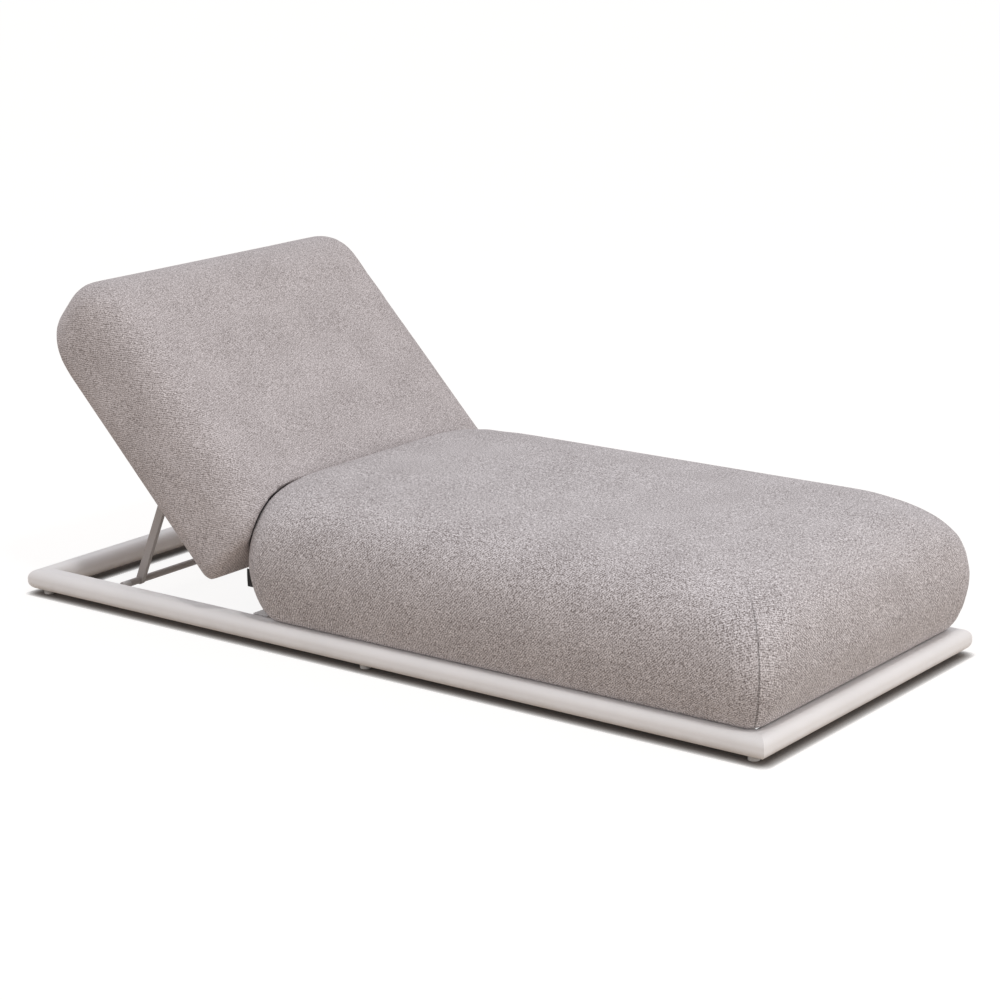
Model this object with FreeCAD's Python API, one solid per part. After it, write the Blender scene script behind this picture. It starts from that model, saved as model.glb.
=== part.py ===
import FreeCAD, Part
import math
import os

# An outdoor daybed: a low mitred tube frame on glides, a thick seat cushion on a deck,
# and an upholstered backrest that tilts on two hinge arms and is held up by a folding prop.
# Millimetres. +X is the foot end, -X the head end, +Z is up, the floor is Z = 0.
# The origin is on the floor, in the middle of the whole outline.

os.makedirs("parts", exist_ok=True)
V = FreeCAD.Vector

# Base frame: oval tube, mitred at the corners
frame_length = 2000.0
frame_width = 825.0
rail_width = 57.0
rail_height = 47.0
rail_corner = 20.0
rail_wall = 3.0
glide_height = 10.0
glide_diameter = 24.0
glide_from_end = 40.0
glide_round = 2.0
glide_recess = 5.0
glide_screw_diameter = 6.0
glide_screw_length = 14.0
glide_screw_head = 12.0
glide_screw_head_height = 2.5

# Deck under the seat cushion
bearer_width = 40.0
bearer_height = 20.0
bearer_count = 4
deck_thickness = 3.0
deck_edge_gap = 5.0
deck_drop = 1.0
deck_screw_diameter = 5.0
deck_screw_head = 10.0
deck_screw_head_height = 0.7

# Seat cushion: bulges past the frame, tucks in at the bottom, broad round shoulders on top
cushion_overhang = 24.5
seat_setback = 672.0
seat_foot_overhang = 13.0
seat_height = 299.0
seat_bulge_height = 138.0
seat_tuck = 51.0
seat_bottom_corner = 39.0
seat_top_corner = 164.0
tuck_power = 1.45
tuck_rises = (0.0, 0.12, 0.3, 0.6, 1.0)
shoulder_reach_power = 5.0
shoulder_rise_power = 2.8
shoulder_turns = (12, 24, 36, 48, 59, 69, 77, 83, 87, 89)
corner_share = 0.8
cover_thickness = 4.0
soft_gap = 0.3
foam_gap = 0.8

# Sewn-in tab on the seat cushion's head end
tab_height = 40.0
tab_reach = 8.0
tab_thickness = 2.0
tab_from_side = 59.0
tab_above_rail = 64.0

# Backrest cushion, described lying flat, and the angle it is raised to
back_angle = 46.0
back_head_overhang = 57.0
back_thickness = 254.0
back_gap = 10.0
back_lift = 23.5
back_under_share = 0.35
back_top_share = 0.49
back_round_side = 89.0
back_round_head = 129.0
back_round_hinge = 45.0
back_bottom_corner = 40.0
back_head_corner = 100.0
back_under_turns = (0, 25, 50, 90)
back_top_turns = (0, 30, 55, 75, 90)
back_seat_clearance = 4.0

# Backrest hinge
hinge_from_end = 16.7
hinge_above_under = 114.5
hinge_arm_thickness = 10.0
hinge_arm_width = 22.0
hinge_pin_diameter = 10.0
hinge_pin_head = 18.0
hinge_pin_head_height = 4.0
hinge_bush_wall = 1.5
hinge_washer = 1.5
hinge_bearer_width = 40.0
fit_gap = 0.1
slot_gap = 1.5
overcut = 1.0

# Backrest frame inside the cushion
tube_size = 25.0
tube_wall = 2.0
tube_cover_gap = 10.0
frame_side_inset = 149.5
frame_head_inset = 170.0
back_panel_thickness = 3.0
hinge_plate_length = 90.0
frame_hinge_inset = 60.0

# Folding prop behind the backrest
prop_below_under = 16.7
prop_foot_height = 45.75
prop_head_room = 38.3
prop_lean = 24.1
prop_fold = 110.0
prop_leg_width = 20.0
prop_leg_thickness = 10.0
prop_rod_diameter = 16.0
prop_rod_end_gap = 3.5
prop_pin_diameter = 8.0
prop_pin_head = 14.0
prop_pin_head_height = 4.0
prop_lug_thickness = 8.0
prop_lug_width = 26.0
prop_side_gap = 1.0
sleeve_wall = 2.0
sleeve_length = 22.0

# Notched rack on the inside of each side rail
rack_thickness = 8.0
rack_clearance = 1.0
rack_step = 4.0
rack_steps = 6
rack_nick = 3.0

# Places that follow from the sizes above
overall_length = frame_length + seat_foot_overhang
cushion_width = frame_width + 2 * cushion_overhang
frame_head_x = -overall_length / 2
frame_foot_x = frame_head_x + frame_length
frame_mid_x = (frame_head_x + frame_foot_x) / 2
side_y = frame_width / 2
inner_y = side_y - rail_width
rail_bottom = glide_height
rail_top = glide_height + rail_height
seat_foot_x = overall_length / 2
seat_head_x = frame_head_x + seat_setback
seat_bottom = rail_top + soft_gap
seat_top = seat_bottom + seat_height
back_end_x = seat_head_x - back_gap
back_length = seat_setback - back_gap + back_head_overhang
back_under = rail_top + back_lift
back_round_under = back_under_share * back_thickness
back_round_top = back_top_share * back_thickness
hinge_x = back_end_x - hinge_from_end
hinge_z = back_under + hinge_above_under
hinge_point = V(hinge_x, 0, hinge_z)
tube_y1 = cushion_width / 2 - frame_side_inset
tube_y0 = tube_y1 - tube_size
plate_y1 = tube_y0
plate_y0 = plate_y1 - hinge_arm_thickness
arm_y1 = plate_y0 - hinge_washer
arm_y0 = arm_y1 - hinge_arm_thickness

# Folded flat, the prop just fits between the hinge and the head rail; raised, its foot is at its height
prop_reach = hinge_x - frame_head_x - rail_width - prop_head_room
raise_sine = math.sin(math.radians(back_angle))
raise_cosine = math.cos(math.radians(back_angle))
lean_cosine = math.cos(math.radians(prop_lean))
prop_drop = hinge_z - (hinge_above_under + prop_below_under) * raise_cosine - prop_foot_height
prop_offset = (prop_reach - prop_drop / lean_cosine) / (1 + raise_sine / lean_cosine)
prop_length = prop_reach - prop_offset


def box(x0, x1, y0, y1, z0, z1):
    """A block between two corners."""
    return Part.makeBox(x1 - x0, y1 - y0, z1 - z0, V(x0, y0, z0))


def rod_y(x, z, y0, y1, diameter):
    """A round bar along Y."""
    return Part.makeCylinder(diameter / 2, y1 - y0, V(x, y0, z), V(0, 1, 0))


def rod_z(x, y, z0, z1, diameter):
    """A round bar along Z."""
    return Part.makeCylinder(diameter / 2, z1 - z0, V(x, y, z0), V(0, 0, 1))


def plate_y(points, y0, y1):
    """A flat plate with straight edges, cut in XZ and thick along Y."""
    corners = [V(x, y0, z) for x, z in points]
    return Part.Face(Part.makePolygon(corners + corners[:1])).extrude(V(0, y1 - y0, 0))


def bar_end_round(x, z_low, z_high, width, y0, y1):
    """An upright flat bar whose upper end is a half round about (x, z_high)."""
    half = width / 2
    arc = Part.Arc(V(x + half, y0, z_high), V(x, y0, z_high + half), V(x - half, y0, z_high)).toShape()
    down = Part.makeLine(V(x - half, y0, z_high), V(x - half, y0, z_low))
    across = Part.makeLine(V(x - half, y0, z_low), V(x + half, y0, z_low))
    up = Part.makeLine(V(x + half, y0, z_low), V(x + half, y0, z_high))
    return Part.Face(Part.Wire([arc, down, across, up])).extrude(V(0, y1 - y0, 0))


def rounded_outline(x0, x1, half_width, corner_head, corner_foot, z):
    """A rectangle with round corners, level at height z, as eight edges."""
    points = []
    for x, sign_x, sign_y, radius in ((x1, 1, -1, corner_foot), (x1, 1, 1, corner_foot),
                                      (x0, -1, 1, corner_head), (x0, -1, -1, corner_head)):
        cx = x - sign_x * radius
        cy = sign_y * (half_width - radius)
        mid = radius * math.sqrt(0.5)
        on_side = V(cx, cy + sign_y * radius, z)
        on_end = V(cx + sign_x * radius, cy, z)
        middle = V(cx + sign_x * mid, cy + sign_y * mid, z)
        first, last = (on_side, on_end) if sign_x * sign_y < 0 else (on_end, on_side)
        points.append((first, middle, last))
    edges = []
    for i, (first, middle, last) in enumerate(points):
        edges.append(Part.Arc(first, middle, last).toShape())
        edges.append(Part.makeLine(last, points[(i + 1) % len(points)][0]))
    return Part.Wire(edges)


def oval_section(width, height, corner):
    """A face in the YZ plane: straight sides joined by quarter circles."""
    half_y = width / 2
    half_z = height / 2
    edges = []
    starts = []
    for sign_y, sign_z in ((1, 1), (-1, 1), (-1, -1), (1, -1)):
        cy = sign_y * (half_y - corner)
        cz = sign_z * (half_z - corner)
        mid = corner * math.sqrt(0.5)
        on_side = V(0, cy + sign_y * corner, cz)
        on_flat = V(0, cy, cz + sign_z * corner)
        middle = V(0, cy + sign_y * mid, cz + sign_z * mid)
        first, last = (on_side, on_flat) if sign_y * sign_z > 0 else (on_flat, on_side)
        starts.append((first, middle, last))
    for i, (first, middle, last) in enumerate(starts):
        edges.append(Part.Arc(first, middle, last).toShape())
        edges.append(Part.makeLine(last, starts[(i + 1) % len(starts)][0]))
    return Part.Face(Part.Wire(edges))


def oval_tube(length):
    """A straight oval tube along X, from 0 to its length."""
    outer = oval_section(rail_width, rail_height, rail_corner).extrude(V(length, 0, 0))
    bore = oval_section(rail_width - 2 * rail_wall, rail_height - 2 * rail_wall, rail_corner - rail_wall)
    return outer.cut(bore.extrude(V(length, 0, 0)))


def mitred(length):
    """A tube along X, centred, with both ends cut at 45 degrees; the long side faces -Y."""
    tube = oval_tube(length)
    tube.translate(V(-length / 2, rail_width / 2, 0))
    half = length / 2
    keep = [V(-half, 0, -rail_height), V(half, 0, -rail_height),
            V(half - rail_width, rail_width, -rail_height), V(-half + rail_width, rail_width, -rail_height)]
    wedge = Part.Face(Part.makePolygon(keep + keep[:1])).extrude(V(0, 0, 2 * rail_height))
    return tube.common(wedge)


def raised(shape):
    """A backrest piece, modelled lying flat, turned up about the hinge to the angle it rests at."""
    turned = shape.copy()
    turned.rotate(hinge_point, V(0, 1, 0), back_angle)
    return turned


def export(name, *shapes):
    """One file per piece; several shapes in one file are a group of separate solids."""
    shape = shapes[0] if len(shapes) == 1 else Part.makeCompound(list(shapes))
    shape.exportStep("parts/" + name + ".step")


# Base frame rails
rail_mid_z = rail_bottom + rail_height / 2
for name, length, turn, x, y in (
    ("left_side_rail", frame_length, 0, frame_mid_x, -side_y),
    ("foot_rail", frame_width, 90, frame_foot_x, 0),
    ("right_side_rail", frame_length, 180, frame_mid_x, side_y),
    ("head_rail", frame_width, 270, frame_head_x, 0),
):
    rail = mitred(length)
    rail.rotate(V(0, 0, 0), V(0, 0, 1), turn)
    rail.translate(V(x, y, rail_mid_z))
    glide_screw_holes = []
    if name.endswith("side_rail"):
        for along in (frame_head_x + glide_from_end, frame_mid_x, frame_foot_x - glide_from_end):
            inward = 1 if y < 0 else -1
            glide_y = y + inward * rail_width / 2
            hole = rod_z(along, glide_y, rail_bottom - overcut, rail_bottom + rail_wall + overcut,
                         glide_screw_diameter + 2 * fit_gap)
            glide_screw_holes.append(hole)
        rail = rail.cut(Part.makeCompound(glide_screw_holes))
    export(name, rail)

# Glides, three under each side rail, each held by a screw up into the tube wall
glide_screws = []
glide_places = []
for sign_y in (-1, 1):
    for along in (frame_head_x + glide_from_end, frame_mid_x, frame_foot_x - glide_from_end):
        glide_places.append((along, sign_y * (side_y - rail_width / 2)))
for number, (x, y) in enumerate(glide_places, 1):
    glide = rod_z(x, y, 0, glide_height, glide_diameter)
    glide = glide.makeFillet(glide_round, [glide.Edges[2]])
    screw_head = rod_z(x, y, glide_recess - glide_screw_head_height, glide_recess, glide_screw_head)
    recess = rod_z(x, y, -overcut, glide_recess + fit_gap, glide_screw_head + 2 * fit_gap)
    bore = rod_z(x, y, 0, glide_height + overcut, glide_screw_diameter + 2 * fit_gap)
    export("glide_%d" % number, glide.cut(recess.fuse(bore)))
    shank = rod_z(x, y, glide_recess, glide_recess + glide_screw_length, glide_screw_diameter)
    glide_screws.append(screw_head.fuse(shank).removeSplitter())
export("glide_screws", *glide_screws)

# Cross bearers between the side rails, and the deck panel screwed to them
deck_top = rail_top - deck_drop
bearer_top = deck_top - deck_thickness
bearer_bottom = bearer_top - bearer_height
hinge_bearer_head_x = hinge_x + hinge_arm_width / 2
hinge_bearer_foot_x = hinge_bearer_head_x + hinge_bearer_width
deck_head_x = hinge_bearer_foot_x + deck_edge_gap
deck_foot_x = frame_foot_x - rail_width - deck_edge_gap
deck_side_y = inner_y - deck_edge_gap


def cross_tube(x0, x1):
    """A rectangular tube across the frame, between the side rails' inner faces."""
    outer = box(x0, x1, -inner_y, inner_y, bearer_bottom, bearer_top)
    bore = box(x0 + tube_wall, x1 - tube_wall, -inner_y, inner_y,
               bearer_bottom + tube_wall, bearer_top - tube_wall)
    return outer.cut(bore)


deck = box(deck_head_x, deck_foot_x, -deck_side_y, deck_side_y, bearer_top, deck_top)
deck_screws = []
bearer_pitch = (deck_foot_x - deck_head_x - 2 * bearer_width) / (bearer_count - 1)
for number in range(1, bearer_count + 1):
    mid_x = deck_head_x + bearer_width + (number - 1) * bearer_pitch
    bearer = cross_tube(mid_x - bearer_width / 2, mid_x + bearer_width / 2)
    for y in (-deck_side_y / 2, deck_side_y / 2):
        shank = rod_z(mid_x, y, bearer_top - 2 * tube_wall, deck_top, deck_screw_diameter)
        head = rod_z(mid_x, y, deck_top, deck_top + deck_screw_head_height, deck_screw_head)
        deck_screws.append(shank.fuse(head).removeSplitter())
        hole = rod_z(mid_x, y, bearer_top - 2 * tube_wall, deck_top + overcut,
                     deck_screw_diameter + 2 * fit_gap)
        bearer = bearer.cut(hole)
        deck = deck.cut(hole)
    export("seat_bearer_%d" % number, bearer)
export("seat_deck_panel", deck)
export("deck_screws", *deck_screws)
export("hinge_bearer", cross_tube(hinge_bearer_head_x, hinge_bearer_foot_x))


def seat_form(inset):
    """The seat cushion's rounded block, drawn in all round by inset.

    Level outlines follow a tucked lower side and a shoulder that runs on into a low crown;
    each is a power curve.
    """
    half = cushion_width / 2
    bulge = seat_bottom + seat_bulge_height
    levels = []
    for up in tuck_rises:
        low = 1 - up
        draw = seat_tuck * (1 - (1 - low ** tuck_power) ** (1 / tuck_power))
        levels.append((seat_bottom + up * seat_bulge_height, draw))
    for turn in shoulder_turns:
        rise = math.sin(math.radians(turn)) ** (2 / shoulder_rise_power)
        draw = half * (1 - math.cos(math.radians(turn)) ** (2 / shoulder_reach_power))
        levels.append((bulge + rise * (seat_top - bulge), draw))
    outlines = []
    low_z = levels[0][0]
    span = levels[-1][0] - low_z
    for z, draw in levels:
        share = (z - low_z) / span
        corner = seat_bottom_corner + (seat_top_corner - seat_bottom_corner) * share
        side = half - draw - inset
        corner = min(corner, corner_share * side)
        level = low_z + inset + share * (span - 2 * inset)
        outlines.append(rounded_outline(seat_head_x + draw + inset, seat_foot_x - draw - inset,
                                        side, corner, corner, level))
    return Part.makeLoft(outlines, True, False)


def back_form(inset):
    """The backrest cushion lying flat: a rounded block, full at the head end, squarer at the hinge end."""
    half = cushion_width / 2
    head_x = back_end_x - back_length
    top = back_under + back_thickness
    levels = []
    for turn in back_under_turns:
        rise = math.sin(math.radians(turn))
        draw = 1 - math.sqrt(1 - (1 - rise) ** 2)
        levels.append((back_under + rise * back_round_under, draw))
    for turn in back_top_turns:
        rise = math.sin(math.radians(turn))
        levels.append((top - back_round_top + rise * back_round_top, 1 - math.cos(math.radians(turn))))
    outlines = []
    low_z = levels[0][0]
    span = levels[-1][0] - low_z
    for z, draw in levels:
        side = half - draw * back_round_side - inset
        level = low_z + inset + (z - low_z) / span * (span - 2 * inset)
        outlines.append(rounded_outline(head_x + draw * back_round_head + inset,
                                        back_end_x - draw * back_round_hinge - inset,
                                        side, back_head_corner, back_bottom_corner, level))
    return Part.makeLoft(outlines, True, False)


def seat_end(clearance):
    """The room that the seat's head end takes, turned down with the flat backrest that it is cut from."""
    half = cushion_width / 2
    bulge = seat_bottom + seat_bulge_height
    outline = [(seat_foot_x, 0), (seat_head_x - clearance, 0), (seat_head_x - clearance, bulge)]
    for turn in shoulder_turns:
        rise = math.sin(math.radians(turn)) ** (2 / shoulder_rise_power)
        draw = half * (1 - math.cos(math.radians(turn)) ** (2 / shoulder_reach_power))
        outline.append((seat_head_x + draw - clearance, bulge + rise * (seat_top - bulge) + clearance))
    outline.append((seat_foot_x, seat_top + clearance))
    room = plate_y(outline, -cushion_width, cushion_width)
    room.rotate(hinge_point, V(0, 1, 0), -back_angle)
    return room


# Seat cushion: a foam block in a sewn cover, lying on the rails and the deck, with a tab in its end seam
seat_outer = seat_form(0)
export("seat_cover", seat_outer.cut(seat_form(cover_thickness)))
export("seat_foam", seat_form(cover_thickness + foam_gap))
tab_y = -cushion_width / 2 + tab_from_side
tab_z = rail_top + tab_above_rail
tab_block = box(seat_head_x - tab_reach, seat_head_x + seat_tuck, tab_y, tab_y + tab_thickness,
                tab_z, tab_z + tab_height)
export("seat_tab", tab_block.cut(seat_form(-soft_gap)))

# Backrest cushion, with room for the hinge arms, the hinge plates and the prop lugs
tube_under = back_under + tube_cover_gap
tube_top = tube_under + tube_size
lug_y1 = tube_y1
lug_y0 = lug_y1 - prop_lug_thickness
prop_pivot_flat = V(hinge_x - prop_offset, 0, back_under - prop_below_under)
tube_hinge_x = back_end_x - frame_hinge_inset
tube_head_x = back_end_x - back_length + frame_head_inset


def both_sides(y0, y1):
    """The two mirrored spans of Y, named for the sides they are on."""
    return (("left", -y1, -y0), ("right", y0, y1))


back_hollow = []
lug_slots = []
for _, y0, y1 in both_sides(arm_y0 - hinge_pin_head_height - slot_gap, plate_y1 + soft_gap):
    back_hollow.append(box(hinge_x - hinge_arm_width / 2 - slot_gap, back_end_x + overcut, y0, y1,
                           back_under - overcut, hinge_z + hinge_arm_width / 2 + slot_gap))
for _, y0, y1 in both_sides(lug_y0, lug_y1):
    lug_slots.append(box(prop_pivot_flat.x - prop_lug_width / 2 - soft_gap,
                         prop_pivot_flat.x + prop_lug_width / 2 + soft_gap, y0 - soft_gap, y1 + soft_gap,
                         back_under - overcut, tube_under + soft_gap))
openings = Part.makeCompound(back_hollow + lug_slots)
back_outer = back_form(0).cut(seat_end(back_seat_clearance))
back_inner = back_form(cover_thickness).cut(seat_end(back_seat_clearance + cover_thickness))
back_cover = back_outer.cut(back_inner).cut(openings)
export("back_cover", raised(back_cover))

# Backrest frame: two long tubes, three cross tubes and a panel, all inside the foam
frame_pieces = []
for side, y0, y1 in both_sides(tube_y0, tube_y1):
    outer = box(tube_head_x, tube_hinge_x, y0, y1, tube_under, tube_top)
    bore = box(tube_head_x, tube_hinge_x, y0 + tube_wall, y1 - tube_wall,
               tube_under + tube_wall, tube_top - tube_wall)
    frame_pieces.append(("back_frame_%s_tube" % side, outer.cut(bore)))
cross_head_x = tube_head_x + tube_size
cross_hinge_x = tube_hinge_x
cross_mid_x = (cross_head_x + cross_hinge_x) / 2
for place, x, reach in (("upper", cross_head_x, tube_y0), ("middle", cross_mid_x, tube_y0),
                        ("lower", cross_hinge_x, plate_y0)):
    outer = box(x - tube_size, x, -reach, reach, tube_under, tube_top)
    bore = box(x - tube_size + tube_wall, x - tube_wall, -reach, reach,
               tube_under + tube_wall, tube_top - tube_wall)
    frame_pieces.append(("back_frame_%s_tube" % place, outer.cut(bore)))
panel = box(tube_head_x, cross_hinge_x, -plate_y0, plate_y0, tube_top, tube_top + back_panel_thickness)
frame_pieces.append(("back_panel", panel))
plate_head_x = hinge_x - hinge_plate_length
for side, y0, y1 in both_sides(plate_y0, plate_y1):
    half = hinge_arm_width / 2
    outline = [(plate_head_x, tube_under), (tube_hinge_x, tube_under), (hinge_x + half, hinge_z - half),
               (hinge_x + half, hinge_z + half), (hinge_x - half, hinge_z + half), (plate_head_x, tube_top)]
    plate = plate_y(outline, y0, y1)
    pin_hole = rod_y(hinge_x, hinge_z, y0 - overcut, y1 + overcut, hinge_pin_diameter + 2 * fit_gap)
    frame_pieces.append(("%s_hinge_plate" % side, plate.cut(pin_hole)))
frame_room = box(tube_head_x - soft_gap, tube_hinge_x + soft_gap, -tube_y1 - soft_gap, tube_y1 + soft_gap,
                 back_under, tube_top + back_panel_thickness + soft_gap)
plate_room = []
for _, y0, y1 in both_sides(plate_y0 - soft_gap, plate_y1 + soft_gap):
    plate_room.append(box(plate_head_x - soft_gap, back_end_x, y0, y1, back_under,
                          hinge_z + hinge_arm_width / 2 + soft_gap))
back_foam = back_inner.cut(frame_room).cut(Part.makeCompound(plate_room)).cut(openings)
frame_pieces.append(("back_foam", back_foam))
for name, piece in frame_pieces:
    export(name, raised(piece))

# Hinge arms on the hinge bearer, each with a bush, and the pins on which the backrest turns
arm_bottom = bearer_bottom
bush_diameter = hinge_pin_diameter + 2 * hinge_bush_wall
for side, y0, y1 in both_sides(arm_y0, arm_y1):
    arm = bar_end_round(hinge_x, arm_bottom, hinge_z, hinge_arm_width, y0, y1)
    bush_hole = rod_y(hinge_x, hinge_z, y0 - overcut, y1 + overcut, bush_diameter + 2 * fit_gap)
    export("%s_hinge_arm" % side, arm.cut(bush_hole))
    bush = rod_y(hinge_x, hinge_z, y0, y1, bush_diameter)
    pin_hole = rod_y(hinge_x, hinge_z, y0 - overcut, y1 + overcut, hinge_pin_diameter + 2 * fit_gap)
    export("%s_hinge_bush" % side, bush.cut(pin_hole))
for side, y0, y1 in both_sides(arm_y0 - fit_gap, plate_y1):
    shank = rod_y(hinge_x, hinge_z, y0, y1, hinge_pin_diameter)
    head_y = y0 - hinge_pin_head_height if side == "right" else y1
    head = rod_y(hinge_x, hinge_z, head_y, head_y + hinge_pin_head_height, hinge_pin_head)
    export("%s_hinge_pin" % side, raised(shank.fuse(head).removeSplitter()))

# Prop: lugs on the back of the long tubes, pins, two flat legs and the round bar that joins them
for side, y0, y1 in both_sides(lug_y0, lug_y1):
    lug = box(prop_pivot_flat.x - prop_lug_width / 2, prop_pivot_flat.x + prop_lug_width / 2, y0, y1,
              prop_pivot_flat.z, tube_under)
    lug = lug.fuse(rod_y(prop_pivot_flat.x, prop_pivot_flat.z, y0, y1, prop_lug_width)).removeSplitter()
    hole = rod_y(prop_pivot_flat.x, prop_pivot_flat.z, y0 - overcut, y1 + overcut,
                 prop_pin_diameter + 2 * fit_gap)
    export("%s_prop_lug" % side, raised(lug.cut(hole)))
leg_y0 = lug_y1 + prop_side_gap
leg_y1 = leg_y0 + prop_leg_thickness
for side, y0, y1 in both_sides(lug_y0, leg_y1 + fit_gap):
    shank = rod_y(prop_pivot_flat.x, prop_pivot_flat.z, y0, y1, prop_pin_diameter)
    head_y = y1 if side == "right" else y0 - prop_pin_head_height
    head = rod_y(prop_pivot_flat.x, prop_pivot_flat.z, head_y, head_y + prop_pin_head_height, prop_pin_head)
    export("%s_prop_pin" % side, raised(shank.fuse(head).removeSplitter()))


def foot_of_prop(recline):
    """Where the prop's foot bar is when the backrest is turned down by recline degrees."""
    turn = math.radians(back_angle - recline)
    dx = prop_pivot_flat.x - hinge_x
    dz = prop_pivot_flat.z - hinge_z
    pivot_x = hinge_x + dx * math.cos(turn) + dz * math.sin(turn)
    pivot_z = hinge_z - dx * math.sin(turn) + dz * math.cos(turn)
    lean = math.radians(prop_lean + recline * (prop_fold / back_angle - 1))
    return (pivot_x - prop_length * math.sin(lean), pivot_z - prop_length * math.cos(lean))


foot_x, foot_z = foot_of_prop(0)
pivot = raised(Part.Vertex(prop_pivot_flat)).Point
pivot_x, pivot_z = pivot.x, pivot.z
for side, y0, y1 in both_sides(leg_y0, leg_y1):
    leg = bar_end_round(pivot_x, pivot_z - prop_length, pivot_z, prop_leg_width, y0, y1)
    leg = leg.fuse(rod_y(pivot_x, pivot_z - prop_length, y0, y1, prop_leg_width)).removeSplitter()
    pin_hole = rod_y(pivot_x, pivot_z, y0 - overcut, y1 + overcut, prop_pin_diameter + 2 * fit_gap)
    bar_hole = rod_y(pivot_x, pivot_z - prop_length, y0 - overcut, y1 + overcut,
                     prop_rod_diameter + 2 * fit_gap)
    leg = leg.cut(pin_hole).cut(bar_hole)
    leg.rotate(V(pivot_x, 0, pivot_z), V(0, 1, 0), prop_lean)
    export("%s_prop_leg" % side, leg)
rod_end = inner_y - prop_rod_end_gap
core_diameter = prop_rod_diameter - 2 * sleeve_wall
foot_bar = rod_y(foot_x, foot_z, -rod_end + sleeve_length, rod_end - sleeve_length, prop_rod_diameter)
foot_bar = foot_bar.fuse(rod_y(foot_x, foot_z, -rod_end, rod_end, core_diameter)).removeSplitter()
export("prop_foot_bar", foot_bar)
for side, y0, y1 in both_sides(rod_end - sleeve_length, rod_end):
    sleeve = rod_y(foot_x, foot_z, y0, y1, prop_rod_diameter)
    export("%s_foot_sleeve" % side, sleeve.cut(rod_y(foot_x, foot_z, y0, y1, core_diameter + 2 * fit_gap)))

# Racks: the upper edge follows the foot bar's path, with a nick at each position
rack_points = []
for half_step in range(2 * rack_steps + 1):
    recline = half_step * rack_step / 2
    x, z = foot_of_prop(recline)
    x_next, z_next = foot_of_prop(recline + 1)
    reach = math.hypot(x_next - x, z_next - z)
    drop = prop_rod_diameter / 2 + rack_clearance + (rack_nick if half_step % 2 == 0 else 0)
    rack_points.append((x + drop * (z_next - z) / reach, z - drop * (x - x_next) / reach))
rack_foot_x = rack_points[0][0] + prop_rod_diameter
rack_head_x = rack_points[-1][0] - prop_rod_diameter
rack_low = min(z for x, z in rack_points) - rack_nick
outline = [(rack_foot_x, rack_low)] + [(rack_foot_x, rack_points[0][1])] + rack_points
outline += [(rack_head_x, rack_points[-1][1]), (rack_head_x, rack_low)]
for side, y0, y1 in both_sides(inner_y - rack_thickness, inner_y):
    export("%s_notch_rack" % side, plate_y(outline, y0, y1))
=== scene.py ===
import math
import bpy
import numpy as np
from mathutils import Matrix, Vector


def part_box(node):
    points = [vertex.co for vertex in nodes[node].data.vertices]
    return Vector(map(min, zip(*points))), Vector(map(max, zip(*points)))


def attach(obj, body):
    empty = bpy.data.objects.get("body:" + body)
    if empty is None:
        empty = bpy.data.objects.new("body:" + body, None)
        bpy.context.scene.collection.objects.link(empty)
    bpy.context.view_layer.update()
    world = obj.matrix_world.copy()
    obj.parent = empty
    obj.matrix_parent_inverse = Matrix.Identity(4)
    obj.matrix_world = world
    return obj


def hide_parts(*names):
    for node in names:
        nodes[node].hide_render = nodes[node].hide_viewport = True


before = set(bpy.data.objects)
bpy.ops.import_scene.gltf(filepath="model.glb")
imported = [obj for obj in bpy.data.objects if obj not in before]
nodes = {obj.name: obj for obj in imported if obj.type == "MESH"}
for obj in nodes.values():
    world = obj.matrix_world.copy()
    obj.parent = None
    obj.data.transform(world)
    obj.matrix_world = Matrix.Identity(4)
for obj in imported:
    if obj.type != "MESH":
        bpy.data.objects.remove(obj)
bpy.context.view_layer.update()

# Base frame: four oval aluminium tubes, mitred and welded into a ring, then powder coated
# in a warm off-white. The coat is a satin film with a fine orange peel and a little dust
# that gathers low down, near the ground.


def screen_colour(red, green, blue):
    """A colour as seen on a screen, 0 to 255, as the linear values that a shader takes."""
    part = np.array([red, green, blue]) / 255
    linear = np.where(part <= 0.04045, part / 12.92, ((part + 0.055) / 1.055) ** 2.4)
    return (*linear.tolist(), 1.0)


def put(tree, kind, sockets=(), **settings):
    """Adds a shader node; settings are its properties, and sockets its inputs by name or number,
    each a plain value or the output of another node."""
    node = tree.nodes.new(kind)
    for name, value in settings.items():
        setattr(node, name, value)
    for key, value in dict(sockets).items():
        if isinstance(value, bpy.types.NodeSocket):
            tree.links.new(value, node.inputs[key])
        else:
            node.inputs[key].default_value = value
    return node


def calc(tree, operation, *values):
    """One arithmetic step on numbers or outputs; gives the output."""
    return put(tree, "ShaderNodeMath", enumerate(values), operation=operation).outputs[0]


def span(tree, value, low, high, to_low, to_high):
    """A value carried from one range to another, held at both ends."""
    return put(tree, "ShaderNodeMapRange", enumerate((value, low, high, to_low, to_high))).outputs[0]


def blend_colour(tree, share, first, second, way="MIX"):
    """Two colours mixed by a share from 0 to 1."""
    node = put(tree, "ShaderNodeMix", {0: share, 6: first, 7: second}, data_type="RGBA", blend_type=way)
    return node.outputs[2]


def new_group(name, inputs, outputs):
    """A node group with named inputs (name, kind, start value) and outputs (name, kind)."""
    group = bpy.data.node_groups.new(name, "ShaderNodeTree")
    for label, kind, start in inputs:
        group.interface.new_socket(label, in_out="INPUT", socket_type=kind).default_value = start
    for label, kind in outputs:
        group.interface.new_socket(label, in_out="OUTPUT", socket_type=kind)
    return group, group.nodes.new("NodeGroupInput").outputs, group.nodes.new("NodeGroupOutput").inputs


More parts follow.
